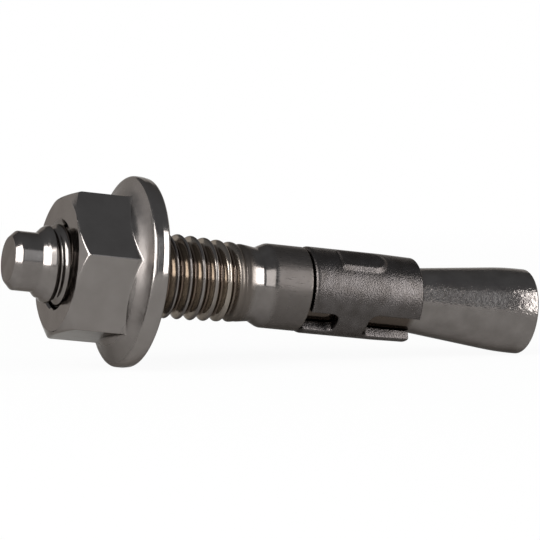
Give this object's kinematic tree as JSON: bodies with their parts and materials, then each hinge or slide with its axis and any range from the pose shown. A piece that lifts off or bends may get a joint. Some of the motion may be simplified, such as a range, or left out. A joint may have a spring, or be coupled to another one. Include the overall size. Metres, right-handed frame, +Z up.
{
  "type": "wedge anchor",
  "caption": "Short stainless wedge anchor: threaded stud with an expander cone, a split expansion clip on its neck, and a hexagon nut with a wide flange.",
  "frame": {"origin": "on the surface the anchor lies on, under the centre of its bounding box", "axes": "+Z up; +X from the driven end towards the cone, level, with the anchor's own axis falling 6.83 degrees below +X; +Y to the side"},
  "size_m": [0.0504, 0.017, 0.017],
  "materials": {
    "stud_steel": "cold-formed stainless steel, satin with fine drawn scratches",
    "clip_steel": "pressed stainless sheet, matte and slightly grainy",
    "nut_steel": "cold-formed stainless steel, smooth and bright"
  },
  "bodies": {
    "stud": {"stud": "stud_steel"},
    "clip": {"expansion_clip": "clip_steel"},
    "nut": {"flange_nut": "nut_steel"}
  },
  "joints": [
    {"name": "nut_travel", "type": "slide", "parent": "stud", "child": "nut", "axis": [0.9929, 0, -0.1189], "range_m": [-0.00875, 0.00625]},
    {"name": "clip_turn", "type": "hinge", "parent": "stud", "child": "clip", "pos_m": [0.00784, 0, 0.00591], "axis": [0.9929, 0, -0.1189], "continuous": true}
  ]
}
